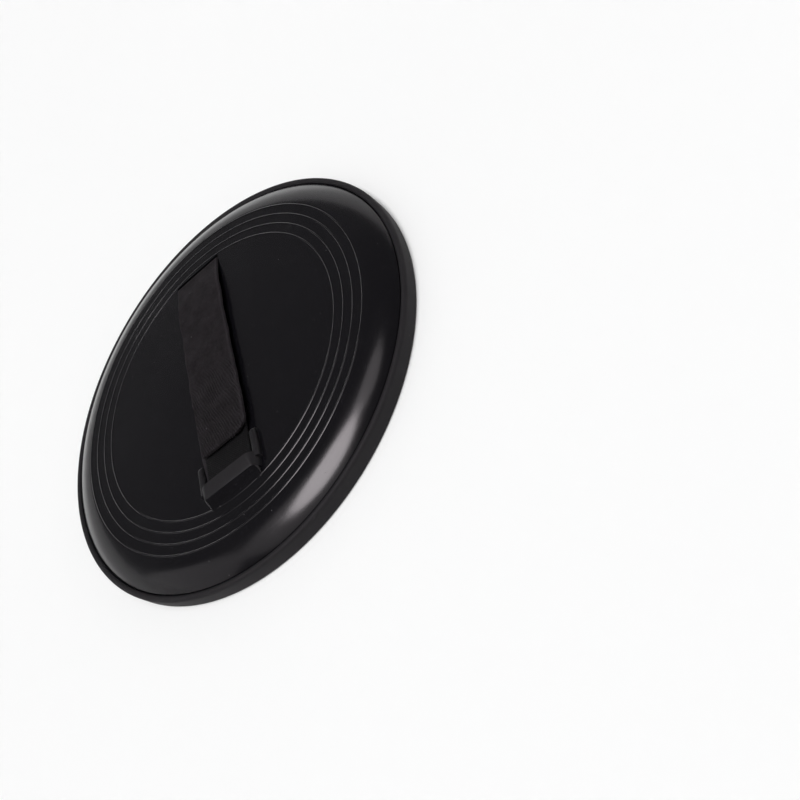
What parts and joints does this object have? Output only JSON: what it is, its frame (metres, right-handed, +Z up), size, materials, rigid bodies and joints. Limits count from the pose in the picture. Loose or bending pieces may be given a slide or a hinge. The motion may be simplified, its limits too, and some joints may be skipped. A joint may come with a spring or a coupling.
{
  "type": "hook and loop catch paddle",
  "caption": "Round hand paddle for a toss and catch game: a shallow black plastic dish lined with green and pink loop fabric, with a hook and loop hand strap across its ringed back.",
  "frame": {"origin": "On the floor under the middle of the disc, which lies face down on its rim.", "axes": "+Z up out of the back of the paddle; the straps run along Y, with the slot at +Y and the hooded mouth at -Y; X runs across the straps."},
  "size_m": [0.19, 0.19, 0.0163],
  "materials": {
    "shell": "glossy black moulded plastic with a soft sheen",
    "loop_tape": "black napped loop tape",
    "hook_tape": "black woven hook tape",
    "green_loop_fabric": "bright green brushed loop fabric",
    "pink_loop_fabric": "bright pink brushed loop fabric"
  },
  "bodies": {
    "root": {"paddle_shell": "shell", "loop_strap": "loop_tape", "hook_strap": "hook_tape", "green_loop_pad": "green_loop_fabric", "pink_loop_pad": "pink_loop_fabric"}
  },
  "joints": []
}
